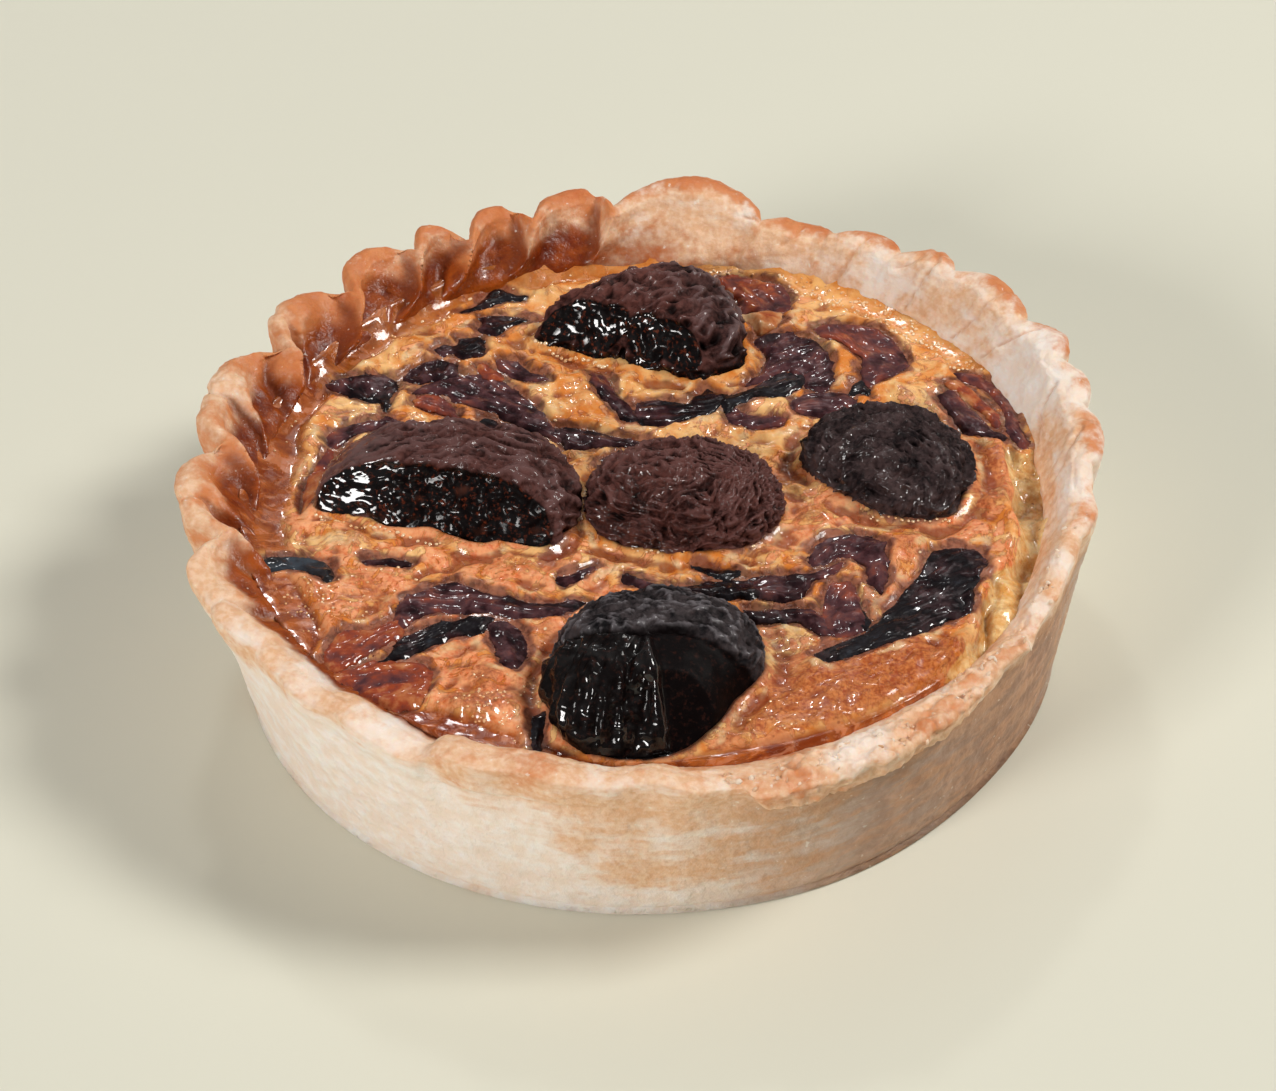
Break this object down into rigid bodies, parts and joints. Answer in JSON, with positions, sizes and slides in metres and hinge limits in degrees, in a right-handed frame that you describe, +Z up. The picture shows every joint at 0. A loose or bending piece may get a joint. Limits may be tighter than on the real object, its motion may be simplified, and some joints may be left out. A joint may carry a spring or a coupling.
{
  "type": "mushroom quiche",
  "caption": "Small deep mushroom quiche: a hand-crimped shortcrust case, browned custard, roast mushroom pieces and dark caramelised onion.",
  "frame": {"origin": "centre of the flat base, on the surface that the quiche stands on", "axes": "+Z up; +Y towards the high, crimped back of the rim; +X to the right as seen from the low front"},
  "size_m": [0.119, 0.1197, 0.0328],
  "materials": {
    "pastry": "baked shortcrust, matt, pale cream with toasted edges",
    "custard": "browned custard skin with a thin oily shine",
    "mushroom": "roast mushroom, near black, wrinkled, wet shine",
    "onion": "caramelised red onion, dark purple and brown, glossy"
  },
  "bodies": {
    "root": {"custard": "custard", "mushroom_back": "mushroom", "mushroom_front": "mushroom", "mushroom_left": "mushroom", "mushroom_middle": "mushroom", "mushroom_right": "mushroom", "onion_arch": "onion", "onion_back_curl": "onion", "onion_back_knot": "onion", "onion_back_petal": "onion", "onion_back_spike": "onion", "onion_black_band": "onion", "onion_cap_arm": "onion", "onion_cap_bowl": "onion", "onion_centre": "onion", "onion_corner": "onion", "onion_curl": "onion", "onion_down_strand": "onion", "onion_great": "onion", "onion_grey": "onion", "onion_knob": "onion", "onion_left_petal": "onion", "onion_left_tail": "onion", "onion_long": "onion", "onion_low_strip": "onion", "onion_maroon": "onion", "onion_oval": "onion", "onion_pale": "onion", "onion_purple_broad": "onion", "onion_purple_low": "onion", "onion_red_petal": "onion", "onion_red_strip": "onion", "onion_rim_petal": "onion", "onion_ring_inner": "onion", "onion_ring_outer": "onion", "onion_sliver": "onion", "onion_strand": "onion", "onion_tongue": "onion", "onion_under": "onion", "pastry_case": "pastry"}
  },
  "joints": []
}
